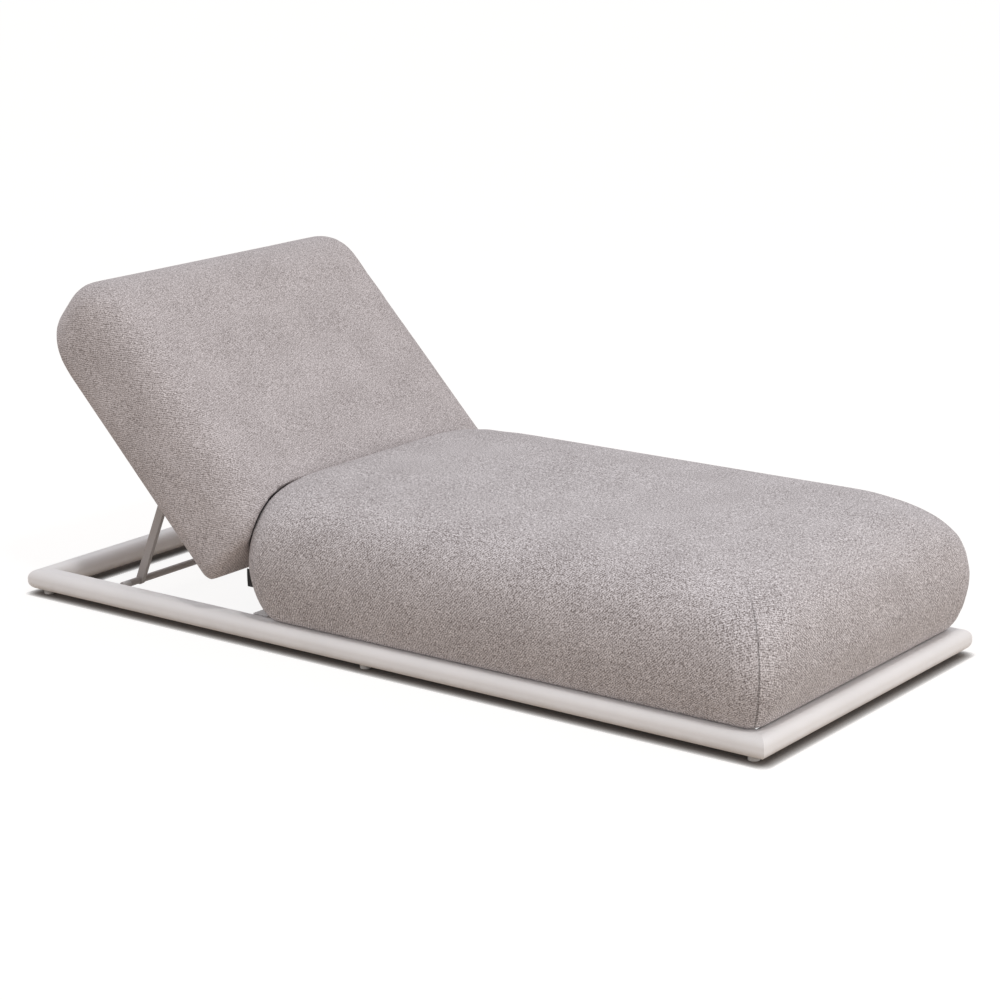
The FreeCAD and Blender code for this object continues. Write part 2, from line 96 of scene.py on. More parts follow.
def coat_film():
    """Group: a sprayed film. A fine noise is the peel, a broad one shifts the tone,
    and a patchy dust lies where the height above the floor is small."""
    group, given, result = new_group(
        "coat_film",
        [("Place", "NodeSocketVector", (0, 0, 0)), ("Colour", "NodeSocketColor", (1, 1, 1, 1)),
         ("Dust", "NodeSocketColor", (1, 1, 1, 1)), ("Satin", "NodeSocketFloat", 0.4)],
        [("Colour", "NodeSocketColor"), ("Roughness", "NodeSocketFloat"), ("Height", "NodeSocketFloat")])
    place = given["Place"]
    peel = put(group, "ShaderNodeTexNoise", {"Vector": place, "Scale": 520.0, "Detail": 2.0}).outputs[0]
    broad = put(group, "ShaderNodeTexNoise", {"Vector": place, "Scale": 5.0, "Detail": 3.0}).outputs[0]
    patch = put(group, "ShaderNodeTexNoise", {"Vector": place, "Scale": 38.0, "Detail": 4.0}).outputs[0]
    height = put(group, "ShaderNodeSeparateXYZ", {0: place}).outputs[2]
    low_down = span(group, height, 0.008, 0.040, 1.0, 0.0)
    dusty = calc(group, "MULTIPLY", low_down, span(group, patch, 0.35, 0.75, 0.05, 0.4))
    tone = span(group, broad, 0.3, 0.7, 0.96, 1.03)
    toned = put(group, "ShaderNodeVectorMath", {0: given["Colour"], 3: tone}, operation="SCALE").outputs[0]
    group.links.new(blend_colour(group, dusty, toned, given["Dust"]), result["Colour"])
    sheen = calc(group, "ADD", given["Satin"], span(group, patch, 0.3, 0.7, -0.04, 0.06))
    group.links.new(calc(group, "ADD", sheen, calc(group, "MULTIPLY", dusty, 0.3)), result["Roughness"])
    group.links.new(peel, result["Height"])
    return group


coat_group = coat_film()


def powder_coat(name, colour, dust, satin, peel_depth):
    """A powder-coated finish of one colour, read at the object's own coordinates."""
    finish = bpy.data.materials.new(name)
    finish.use_nodes = True
    tree = finish.node_tree
    shader = tree.nodes["Principled BSDF"]
    place = put(tree, "ShaderNodeTexCoord").outputs["Object"]
    film = put(tree, "ShaderNodeGroup", node_tree=coat_group)
    tree.links.new(place, film.inputs["Place"])
    film.inputs["Colour"].default_value = colour
    film.inputs["Dust"].default_value = dust
    film.inputs["Satin"].default_value = satin
    peel = put(tree, "ShaderNodeBump",
               {"Height": film.outputs["Height"], "Strength": 0.35, "Distance": peel_depth})
    tree.links.new(film.outputs["Colour"], shader.inputs["Base Color"])
    tree.links.new(film.outputs["Roughness"], shader.inputs["Roughness"])
    tree.links.new(peel.outputs[0], shader.inputs["Normal"])
    shader.inputs["Specular IOR Level"].default_value = 0.45
    return finish


def dress(finish, *names):
    """Gives a finish to CAD nodes, in their own slots."""
    for name in names:
        for place in nodes[name].material_slots:
            place.material = finish


off_white_coat = powder_coat("off_white_coat", colour=screen_colour(236, 232, 229),
                             dust=screen_colour(200, 192, 182), satin=0.42, peel_depth=0.0004)
dress(off_white_coat, "left_side_rail", "right_side_rail", "head_rail", "foot_rail")

# Glides: six moulded feet under the side rails, each held by a stainless screw driven up
# into the tube. The plastic is matt with a spark-eroded grain; the steel is turned.


def moulded_plastic(name, colour, grain, roughness):
    """A moulded finish: a fine cell grain in the surface and a slight change of tone."""
    finish = bpy.data.materials.new(name)
    finish.use_nodes = True
    tree = finish.node_tree
    shader = tree.nodes["Principled BSDF"]
    place = put(tree, "ShaderNodeTexCoord").outputs["Object"]
    cells = put(tree, "ShaderNodeTexVoronoi", {"Vector": place, "Scale": grain}).outputs["Distance"]
    broad = put(tree, "ShaderNodeTexNoise", {"Vector": place, "Scale": 60.0, "Detail": 3.0}).outputs[0]
    tone = span(tree, broad, 0.3, 0.7, 0.88, 1.08)
    toned = put(tree, "ShaderNodeVectorMath", {0: colour[:3], 3: tone}, operation="SCALE").outputs[0]
    tree.links.new(toned, shader.inputs["Base Color"])
    tree.links.new(span(tree, cells, 0.0, 0.8, roughness, roughness + 0.12), shader.inputs["Roughness"])
    bump = put(tree, "ShaderNodeBump", {"Height": cells, "Strength": 0.4, "Distance": 0.0002})
    tree.links.new(bump.outputs[0], shader.inputs["Normal"])
    return finish


def turned_steel(name):
    """Bare stainless: fine rings and streaks of roughness, a grey with a little warmth."""
    finish = bpy.data.materials.new(name)
    finish.use_nodes = True
    tree = finish.node_tree
    shader = tree.nodes["Principled BSDF"]
    place = put(tree, "ShaderNodeTexCoord").outputs["Object"]
    streak = put(tree, "ShaderNodeMapping", {0: place, 3: (900.0, 60.0, 900.0)}).outputs[0]
    lines = put(tree, "ShaderNodeTexNoise", {"Vector": streak, "Scale": 1.0, "Detail": 2.0}).outputs[0]
    dull = screen_colour(150, 149, 147)
    bright = screen_colour(186, 185, 182)
    tree.links.new(blend_colour(tree, lines, dull, bright), shader.inputs["Base Color"])
    tree.links.new(span(tree, lines, 0.3, 0.7, 0.24, 0.42), shader.inputs["Roughness"])
    shader.inputs["Metallic"].default_value = 1.0
    return finish


glide_plastic = moulded_plastic("glide_plastic", screen_colour(186, 183, 179), grain=1500.0, roughness=0.5)
stainless = turned_steel("stainless")
dress(glide_plastic, *["glide_%d" % number for number in range(1, 7)])
dress(stainless, "glide_screws", "deck_screws")

# Deck: four cross bearers welded between the side rails, and a sheet panel screwed down on
# them, under the seat. They share the frame's off-white coat.
dress(off_white_coat, "seat_bearer_1", "seat_bearer_2", "seat_bearer_3", "seat_bearer_4", "seat_deck_panel")

# Hinge and racks: a bearer across the frame with two upright arms and plain bushes, and a
# notched rack on the inside of each side rail. Steel, coated with the frame.
bush_plastic = moulded_plastic("bush_plastic", screen_colour(58, 57, 56), grain=1500.0, roughness=0.42)
dress(off_white_coat, "hinge_bearer", "left_hinge_arm", "right_hinge_arm",
      "left_notch_rack", "right_notch_rack")
dress(bush_plastic, "left_hinge_bush", "right_hinge_bush")

# Seat cushion: a deep foam block in a heathered outdoor weave. The cover is one top cloth
# that runs down all four sides, with a sewn dart at each corner, and a flat base cloth.
# It bulges past the rails, tucks in at the bottom and has broad, full shoulders.
seat_low, seat_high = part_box("seat_cover")
seat_middle = (seat_low.x + seat_high.x) / 2
seat_half_long = (seat_high.x - seat_low.x) / 2
seat_half_wide = 0.437
seat_bottom = seat_low.z
seat_top = 0.3575
seat_bulge = 0.1953
seat_tuck = 0.051
seat_head_rise = 0.0144
seat_crown = 0.021
seat_head_square = 0.4
seat_corner_low = 0.039
seat_corner_more = 0.125
seat_corner_fall = 0.55
seat_corner_limit = 0.8
seat_foot_corner_low = 0.028
seat_foot_corner_more = 0.136
corner_steps = 20
seat_face = 0.012
seat_base_edge = 0.002
seat_hem = 0.004
seat_seam_reach = 0.008
seat_seam_top = 0.27
cover_travel = 0.002


def seat_side(steps):
    """The seat's side from base to crown as (draw, height): how far it is drawn in from the bulge.
    Below the bulge it is a power curve of 1.45; above, a superellipse of powers 5 and 2.8 that
    reaches the middle of the cushion."""
    low = np.linspace(1, 0, steps, endpoint=False)
    turn = np.radians(np.linspace(0, 89.7, 3 * steps))
    draw = np.concatenate([seat_tuck * (1 - (1 - low ** 1.45) ** (1 / 1.45)),
                           seat_half_wide * (1 - np.cos(turn) ** 0.4)])
    height = np.concatenate([seat_bottom + (1 - low) * (seat_bulge - seat_bottom),
                             seat_bulge + np.sin(turn) ** (1 / 1.4) * (seat_top - seat_bulge)])
    return draw, height


def corner_rings(half_long_head, half_long_foot, half_wide, corner_head, corner_foot, height, steps):
    """Level rings of a rounded rectangle, one row per height, about the origin: each corner is a
    quarter circle of its own radius, and straight runs join them."""
    quarter = np.linspace(0, np.pi / 2, steps)
    angle = np.concatenate([quarter + k * np.pi / 2 for k in range(4)])
    to_foot = np.repeat([True, False, False, True], steps)
    sign_x = np.where(to_foot, 1, -1)
    sign_y = np.repeat([1, 1, -1, -1], steps)
    corner = np.where(to_foot, corner_foot[:, None], corner_head[:, None])
    reach = np.where(to_foot, half_long_foot[:, None], half_long_head[:, None])
    x = sign_x * (reach - corner) + corner * np.cos(angle)
    y = sign_y * (half_wide[:, None] - corner) + corner * np.sin(angle)
    return np.stack([x, y, height[:, None] + 0 * angle], -1)


def ring_piece(name, rings):
    """A closed mesh from rows of rings, lowest first, with a flat cap at each end."""
    rows, columns = rings.shape[:2]
    index = np.arange(rows * columns).reshape(rows, columns)
    here, above = index[:-1], index[1:]
    sides = np.stack([here, np.roll(here, -1, 1), np.roll(above, -1, 1), above], -1).reshape(-1, 4)
    mesh = bpy.data.meshes.new(name)
    caps = [index[0, ::-1].tolist(), index[-1].tolist()]
    mesh.from_pydata(rings.reshape(-1, 3).tolist(), [], sides.tolist() + caps)
    piece = bpy.data.objects.new(name, mesh)
    bpy.context.scene.collection.objects.link(piece)
    return piece


def points_of(piece):
    """The piece's points as an array of rows."""
    flat = np.zeros(3 * len(piece.data.vertices))
    piece.data.vertices.foreach_get("co", flat)
    return flat.reshape(-1, 3)


def settle(piece):
    """Makes what the piece's modifiers give its own mesh, and removes them."""
    bpy.context.view_layer.update()
    shown = piece.evaluated_get(bpy.context.evaluated_depsgraph_get())
    mesh = bpy.data.meshes.new_from_object(shown)
    before = piece.data
    piece.modifiers.clear()
    piece.data = mesh
    bpy.data.meshes.remove(before)
    mesh.name = piece.name


def even_faces(piece, size):
    """Covers the form again with even faces, as cloth needs."""
    remesh = piece.modifiers.new("even_faces", "REMESH")
    remesh.mode = "VOXEL"
    remesh.voxel_size = size
    settle(piece)


def plump(piece, sewn, limit):
    """Foam pressing on the cover: the piece is blown up as cloth with its sewn points held, and a
    point's travel is eased off towards the limit."""
    start = points_of(piece)
    piece.vertex_groups.new(name="sewn").add(np.flatnonzero(sewn).tolist(), 1.0, "REPLACE")
    cover = piece.modifiers.new("cover", "CLOTH")
    cover.settings.use_pressure = True
    cover.settings.uniform_pressure_force = 40.0
    cover.settings.effector_weights.gravity = 0.0
    cover.settings.vertex_group_mass = "sewn"
    cover.settings.tension_stiffness = cover.settings.compression_stiffness = 60.0
    cover.settings.shear_stiffness = 20.0
    cover.settings.bending_stiffness = 5.0
    cover.collision_settings.use_collision = False
    for step in range(1, 21):
        bpy.context.scene.frame_set(step)
    settle(piece)
    piece.vertex_groups.clear()
    bpy.context.scene.frame_set(1)
    travel = points_of(piece) - start
    length = np.linalg.norm(travel, axis=1, keepdims=True)
    eased = start + travel * limit * np.tanh(length / limit) / np.maximum(length, 1e-9)
    piece.data.vertices.foreach_set("co", eased.ravel())
    piece.data.update()


def cut_cloth(piece, place, half_long, half_wide, side_draw, head_draw, foot_draw, height, base_edge):
    """Lays the weave as the cloth is cut. Place is each point about the cushion's middle, lying flat.
    On top the weave runs along and across; down a side it goes on by the length of the side's curve,
    so a long side keeps its run along and an end its run across, also where the rings draw in under
    the widest one. They meet at the corners, where 'dart' is the distance from the seam and 'rise'
    the height that the seam fades by. Below the base's edge the base cloth lies along and across,
    and the distance from the seam is set too large for a seam to show."""

    def spare(draw):
        """How much longer the way down a side's curve is than its way in plan, at each point."""
        run = np.concatenate([[0], np.cumsum(np.hypot(np.diff(draw), np.diff(height)))])
        return np.interp(place[:, 2], height, (run[-1] - run) - (draw[-1] - draw))

    def fullness(draw, half):
        """How many times wider the cushion's widest ring is than the ring at each point under it."""
        widest = height[draw.argmin()]
        drawn = np.where(place[:, 2] < widest, np.interp(place[:, 2], height, draw), 0)
        return half / (half - drawn)

    side_more = spare(side_draw)
    end_more = np.where(place[:, 0] > 0, spare(foot_draw), spare(head_draw))
    corner = ((half_wide - np.abs(place[:, 1])) - (half_long - np.abs(place[:, 0]))) / math.sqrt(2)
    mesh = piece.data
    rim = height.min() + base_edge
    rim_margin, no_seam = 0.002, 0.1
    seam = np.where(place[:, 2] < rim + rim_margin, no_seam, corner)
    for name, values in (("dart", seam), ("rise", place[:, 2])):
        layer = mesh.attributes.new(name, "FLOAT", "POINT")
        layer.data.foreach_set("value", values.astype(np.float32))
    point = np.zeros(len(mesh.loops), np.int32)
    mesh.loops.foreach_get("vertex_index", point)
    size = np.zeros(len(mesh.polygons), np.int32)
    mesh.polygons.foreach_get("loop_total", size)
    owner = np.repeat(np.arange(len(size)), size)
    face_corner = np.bincount(owner, corner[point]) / size
    face_height = np.bincount(owner, place[point, 2]) / size
    on_end = (face_corner > 0)[owner]
    on_base = (face_height < rim)[owner]
    along, across = place[point, 0], place[point, 1]
    wider = fullness(side_draw, half_wide)[point]
    longer = np.where(place[:, 0] > 0, fullness(foot_draw, half_long),
                      fullness(head_draw, half_long))[point]
    u = np.where(on_end, along + np.sign(along) * end_more[point], along * longer)
    v = np.where(on_end, across * wider, across + np.sign(across) * side_more[point])
    u, v = np.where(on_base, along, u), np.where(on_base, across, v)
    layer = mesh.uv_layers.new(name="weave")
    layer.data.foreach_set("uv", np.stack([u, v], -1).astype(np.float32).ravel())
    mesh.polygons.foreach_set("use_smooth", np.ones(len(size), bool))


def head_corner(share):
    """The plan radius of the seat's head corners at a share of its height: it grows as at the foot
    low down, and falls back by a fifth power near the crown, where the backrest holds the corner."""
    return seat_corner_low + seat_corner_more * share * (1 - seat_corner_fall * share ** 4)


draw, height = seat_side(16)
share = (height - seat_bottom) / (seat_top - seat_bottom)
corner_most = seat_corner_limit * (seat_half_wide - draw)
corner_head = np.minimum(head_corner(share), corner_most)
corner_foot = np.minimum(seat_foot_corner_low + seat_foot_corner_more * share, corner_most)
head_draw = np.where(height < seat_bulge, draw, seat_head_square * draw)
rings = corner_rings(seat_half_long - head_draw, seat_half_long - draw, seat_half_wide - draw,
                     corner_head, corner_foot, height, corner_steps)
run = rings[..., 0] / seat_half_long
swell = 1 + seat_crown * (1 - run ** 2) - seat_head_rise * run
rings[..., 2] = seat_bottom + (rings[..., 2] - seat_bottom) * swell
rings[..., 0] += seat_middle
seat_cushion = ring_piece("seat_cushion", rings)
even_faces(seat_cushion, seat_face)
seat_points = points_of(seat_cushion) - [seat_middle, 0, 0]
from_side = seat_half_wide - np.abs(seat_points[:, 1])
from_end = seat_half_long - np.abs(seat_points[:, 0])
on_seam = (np.abs(from_side - from_end) < seat_seam_reach) & (seat_points[:, 2] < seat_seam_top)
seat_sewn = (seat_points[:, 2] < seat_bottom + seat_hem) | on_seam
plump(seat_cushion, seat_sewn, cover_travel)
seat_points = points_of(seat_cushion) - [seat_middle, 0, 0]
cut_cloth(seat_cushion, seat_points, seat_half_long, seat_half_wide, side_draw=draw, head_draw=head_draw,
          foot_draw=draw, height=height, base_edge=seat_base_edge)


def heather_weave():
    """Group: a plain weave. Each thread is a rounded ridge that goes over and under the crossing
    threads by a cosine along its length; each thread's yarn changes from light to dark along its
    run, which gives the heathered look. The colour is made darker where the threads lie low and
    lighter on their crowns: painted shade in the gaps of the weave. The threads sway a little, as
    in a soft cloth, and a loose mottle lies over all."""
    group, given, result = new_group(
        "heather_weave",
        [("Cut", "NodeSocketVector", (0, 0, 0)), ("Place", "NodeSocketVector", (0, 0, 0)),
         ("Pitch", "NodeSocketFloat", 0.003),
         ("Light", "NodeSocketColor", (1, 1, 1, 1)), ("Dark", "NodeSocketColor", (0, 0, 0, 1)),
         ("Heather", "NodeSocketFloat", 1.0)],
        [("Colour", "NodeSocketColor"), ("Roughness", "NodeSocketFloat"), ("Height", "NodeSocketFloat")])
    place, sway_most = given["Place"], 0.008
    sway = put(group, "ShaderNodeTexNoise", {"Vector": place, "Scale": 45.0, "Detail": 1.0}).outputs[1]
    sway = put(group, "ShaderNodeVectorMath", {0: sway, 3: sway_most}, operation="SCALE").outputs[0]
    laid = put(group, "ShaderNodeVectorMath", {0: given["Cut"], 1: sway}, operation="ADD").outputs[0]
    sides = put(group, "ShaderNodeSeparateXYZ", {0: laid}).outputs
    along = calc(group, "DIVIDE", sides[0], given["Pitch"])
    across = calc(group, "DIVIDE", sides[1], given["Pitch"])

    def ridge(cross, run, sign):
        """A thread's height: a parabola across it, times its wave over and under along it."""
        number = calc(group, "FLOOR", cross)
        offset = calc(group, "MULTIPLY_ADD", calc(group, "SUBTRACT", cross, number), 2.0, -1.0)
        arch = calc(group, "SUBTRACT", 1.0, calc(group, "MULTIPLY", offset, offset))
        wave = calc(group, "COSINE", calc(group, "MULTIPLY", calc(group, "ADD", run, number), math.pi))
        lift = calc(group, "MULTIPLY_ADD", wave, 0.45 * sign, 0.55)
        where = put(group, "ShaderNodeCombineXYZ", {0: calc(group, "MULTIPLY", number, 1.37),
                                                    1: calc(group, "MULTIPLY", run, 0.7),
                                                    2: 7.0 * sign}).outputs[0]
        yarn = put(group, "ShaderNodeTexNoise", {"Vector": where, "Scale": 1.0, "Detail": 2.0}).outputs[0]
        return calc(group, "MULTIPLY", arch, lift), yarn

    warp, warp_yarn = ridge(along, across, 1.0)
    weft, weft_yarn = ridge(across, along, -1.0)
    on_top = calc(group, "GREATER_THAN", warp, weft)
    top = calc(group, "MAXIMUM", warp, weft)
    yarn = put(group, "ShaderNodeMix", {0: on_top, 2: weft_yarn, 3: warp_yarn}).outputs[0]
    mottle = put(group, "ShaderNodeTexNoise",
                 {"Vector": place, "Scale": 350.0, "Detail": 3.0, "Roughness": 0.6}).outputs[0]
    cloud = put(group, "ShaderNodeTexNoise", {"Vector": place, "Scale": 9.0, "Detail": 3.0}).outputs[0]
    tint = calc(group, "ADD", span(group, yarn, 0.3, 0.7, -0.25, 0.25),
                span(group, mottle, 0.32, 0.68, -0.7, 0.7))
    tint = calc(group, "MULTIPLY", tint, given["Heather"])
    tint = calc(group, "ADD", tint, span(group, cloud, 0.3, 0.7, -0.05, 0.05))
    # Painted shade: the colour darkens where the thread height is low, in the gaps between threads, and
    # lightens on the crowns.
    weave_gap_shade = span(group, top, 0.0, 0.8, -0.25, 0.12)
    share = calc(group, "ADD", calc(group, "ADD", tint, weave_gap_shade), 0.5)
    held = span(group, share, 0.0, 1.0, 0.0, 1.0)
    group.links.new(blend_colour(group, held, given["Dark"], given["Light"]), result["Colour"])
    group.links.new(span(group, top, 0.0, 1.0, 0.95, 0.82), result["Roughness"])
    group.links.new(top, result["Height"])
    return group


weave_group = heather_weave()


def cushion_cloth(name, light, dark, heather, seam_fade):
    """The cushion's cover cloth. The seam is a dark line with a raised lip on each side, and fades out
    between the two heights of seam_fade."""
    finish = bpy.data.materials.new(name)
    finish.use_nodes = True
    tree = finish.node_tree
    shader = tree.nodes["Principled BSDF"]
    cut = put(tree, "ShaderNodeUVMap", uv_map="weave").outputs[0]
    weave = put(tree, "ShaderNodeGroup", node_tree=weave_group)
    tree.links.new(cut, weave.inputs["Cut"])
    tree.links.new(put(tree, "ShaderNodeTexCoord").outputs["Object"], weave.inputs["Place"])
    weave.inputs["Pitch"].default_value = 0.0032
    weave.inputs["Light"].default_value = light
    weave.inputs["Dark"].default_value = dark
    weave.inputs["Heather"].default_value = heather
    dart = put(tree, "ShaderNodeAttribute", attribute_name="dart").outputs["Fac"]
    off_seam = calc(tree, "ABSOLUTE", dart)
    rise = put(tree, "ShaderNodeAttribute", attribute_name="rise").outputs["Fac"]
    fade = span(tree, rise, seam_fade[0], seam_fade[1], 1.0, 0.0)
    line = calc(tree, "MULTIPLY", span(tree, off_seam, 0.0006, 0.0020, 1.0, 0.0), fade)
    lip = calc(tree, "MULTIPLY", span(tree, off_seam, 0.002, 0.009, 1.0, 0.0), fade)
    seam_shade = screen_colour(64, 58, 54)
    colour = blend_colour(tree, calc(tree, "MULTIPLY", line, 0.5), weave.outputs["Colour"], seam_shade)
    groove = calc(tree, "SUBTRACT", calc(tree, "MULTIPLY", lip, 0.8), calc(tree, "MULTIPLY", line, 2.4))
    weave_bump = put(tree, "ShaderNodeBump",
                     {"Height": weave.outputs["Height"], "Strength": 0.4, "Distance": 0.0008})
    seam_bump = put(tree, "ShaderNodeBump", {"Height": groove, "Strength": 0.6, "Distance": 0.0012,
                                             "Normal": weave_bump.outputs[0]})
    tree.links.new(colour, shader.inputs["Base Color"])
    tree.links.new(weave.outputs["Roughness"], shader.inputs["Roughness"])
    tree.links.new(seam_bump.outputs[0], shader.inputs["Normal"])
    shader.inputs["Specular IOR Level"].default_value = 0.2
    shader.inputs["Sheen Weight"].default_value = 0.12
    shader.inputs["Sheen Roughness"].default_value = 0.5
    return finish


def soft_edges(piece):
    """One round of subdivision, the same in the view and in the render."""
    smooth = piece.modifiers.new("smooth", "SUBSURF")
    smooth.levels = smooth.render_levels = 1
    smooth.uv_smooth = "NONE"


seat_cloth = cushion_cloth("seat_cloth", light=screen_colour(234, 227, 226),
                           dark=screen_colour(116, 106, 103), heather=0.8, seam_fade=(0.28, 0.335))
seat_cushion.data.materials.clear()
seat_cushion.data.materials.append(seat_cloth)
soft_edges(seat_cushion)
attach(seat_cushion, "base")
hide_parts("seat_cover", "seat_foam")

# Seat tab: a short loop of black woven tape, folded double and caught in the seam at the
# cushion's head end. It is left plain.
tab_low, tab_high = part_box("seat_tab")


def folded_tape(name, low, high, rows, columns):
    """A tape folded double: seen from above it runs out along X on one side, round a half circle
    at the fold and back on the other; it is carried up along Z with a slight flare."""
    tape_room, bend, flare_most = 0.0004, 0.35, 0.0006
    gap = (high.y - low.y) / 2 - tape_room
    path = np.linspace(-1, 1, columns)
    straight = high.x - low.x - gap
    turn = np.clip(path / bend, -1, 1) * np.pi / 2
    out = np.clip((np.abs(path) - bend) / (1 - bend), 0, 1)
    x = low.x + gap - gap * np.cos(turn) + out * straight
    y = (low.y + high.y) / 2 + gap * np.sin(turn)
    up = np.linspace(0, 1, rows)[:, None]
    flare = flare_most * np.sin(np.pi * up) * (1 - out)
    points = np.stack([x - flare, y + 0 * up, low.z + (high.z - low.z) * up + 0 * x], -1)
    index = np.arange(rows * columns).reshape(rows, columns)
    faces = np.stack([index[:-1, :-1], index[1:, :-1], index[1:, 1:], index[:-1, 1:]], -1).reshape(-1, 4)
    mesh = bpy.data.meshes.new(name)
    mesh.from_pydata(points.reshape(-1, 3).tolist(), [], faces.tolist())
    layer = mesh.uv_layers.new(name="weave")
    point = np.zeros(len(mesh.loops), np.int32)
    mesh.loops.foreach_get("vertex_index", point)
    flat = np.stack([(path * (straight + gap * np.pi / 2)) + 0 * up, up * (high.z - low.z) + 0 * path], -1)
    layer.data.foreach_set("uv", flat.reshape(-1, 2)[point].astype(np.float32).ravel())
    mesh.polygons.foreach_set("use_smooth", np.ones(len(faces), bool))
    piece = bpy.data.objects.new(name, mesh)
    bpy.context.scene.collection.objects.link(piece)
    return piece


seat_tab = folded_tape("seat_tab_loop", tab_low, tab_high, rows=25, columns=41)
tape = seat_tab.modifiers.new("tape", "SOLIDIFY")
tape.thickness = 0.0006
tab_cloth = bpy.data.materials.new("tab_cloth")
tab_cloth.use_nodes = True
tree = tab_cloth.node_tree
tab_weave = put(tree, "ShaderNodeGroup", node_tree=weave_group)
tree.links.new(put(tree, "ShaderNodeUVMap", uv_map="weave").outputs[0], tab_weave.inputs["Cut"])
tree.links.new(put(tree, "ShaderNodeTexCoord").outputs["Object"], tab_weave.inputs["Place"])
tab_weave.inputs["Pitch"].default_value = 0.0006
tab_weave.inputs["Light"].default_value = screen_colour(52, 51, 50)
tab_weave.inputs["Dark"].default_value = screen_colour(22, 21, 21)
tab_weave.inputs["Heather"].default_value = 0.3
tab_bump = put(tree, "ShaderNodeBump",
               {"Height": tab_weave.outputs["Height"], "Strength": 0.5, "Distance": 0.0002})
tab_shader = tree.nodes["Principled BSDF"]
tree.links.new(tab_weave.outputs["Colour"], tab_shader.inputs["Base Color"])
tree.links.new(tab_weave.outputs["Roughness"], tab_shader.inputs["Roughness"])
tree.links.new(tab_bump.outputs[0], tab_shader.inputs["Normal"])
seat_tab.data.materials.append(tab_cloth)
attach(seat_tab, "base")
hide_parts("seat_tab")

# Backrest frame: square steel tubes and a sheet panel inside the back cushion, hinge plates on
# the long tubes and the pins they turn on. Only the pins' ends and the lugs ever show.
dress(off_white_coat, "back_frame_left_tube", "back_frame_right_tube", "back_frame_upper_tube",
      "back_frame_middle_tube", "back_frame_lower_tube", "back_panel",
      "left_hinge_plate", "right_hinge_plate")
dress(stainless, "left_hinge_pin", "right_hinge_pin", "left_prop_pin", "right_prop_pin")

# Back cushion: a foam pad in the same cloth, pulled over the backrest frame. It is full and
# round at the head, squarer at the hinge end, and its lower end presses against the seat.
# It is shaped lying flat, turned up about the hinge and shows no seam; the hinge arms have room.
back_turn = math.radians(46.0)
hinge = np.array([-0.3612, 0.0, 0.195])
back_head = -1.0635
back_end = -0.3445
back_under = 0.0805
back_thick = 0.254
back_half_wide = 0.437
back_power = 2.5
back_under_round = 0.35 * back_thick
back_front_round = 0.49 * back_thick
back_side_draw_front = 0.082
back_side_draw_under = 0.087
back_head_draw = 0.155
back_end_draw = 0.045
back_head_corner = 0.100
back_head_corner_fall = 0.060
back_end_corner = 0.018
back_face = 0.010
back_hem = 0.012
back_base_edge = 0.014
press_clearance_first = 0.004
press_clearance = 0.0025
arm_along = (-0.3737, -0.3435)
arm_across = (0.2355, 0.2628)
arm_height = (0.079, 0.2075)
back_middle = (back_head + back_end) / 2
back_half_long = (back_end - back_head) / 2


def back_side(steps):
    """The back cushion's side from under to front as (share drawn in, height): a quarter of a
    superellipse under, a straight stretch and another quarter on top, all of the same power."""
    turn = np.linspace(0, np.pi / 2, steps)
    full = 2 / back_power
    under = 1 - np.sqrt(1 - (1 - np.sin(turn)) ** 2) ** full
    share = np.concatenate([under, 1 - np.cos(turn) ** full])
    under_height = back_under_round * (1 - (1 - np.sin(turn)) ** full)
    front_height = back_thick - back_front_round * (1 - np.sin(turn) ** full)
    return share, back_under + np.concatenate([under_height, front_height])


share, height = back_side(20)
on_front = height > back_under + 0.5 * back_thick
side_draw = np.where(on_front, back_side_draw_front, back_side_draw_under) * share
head_draw, end_draw = back_head_draw * share, back_end_draw * share
corner_head = back_head_corner - back_head_corner_fall * ((height - back_under) / back_thick) ** 2
corner_end = back_end_corner + 0 * share
rings = corner_rings(back_half_long - head_draw, back_half_long - end_draw, back_half_wide - side_draw,
                     corner_head, corner_end, height, corner_steps)
rings[..., 0] += back_middle


def turned_up(points, angle):
    """Points turned about the hinge's axis, positive raising the head end."""
    x = points[..., 0] - hinge[0]
    z = points[..., 2] - hinge[2]
    return np.stack([hinge[0] + x * math.cos(angle) + z * math.sin(angle), points[..., 1],
                     hinge[2] - x * math.sin(angle) + z * math.cos(angle)], -1)


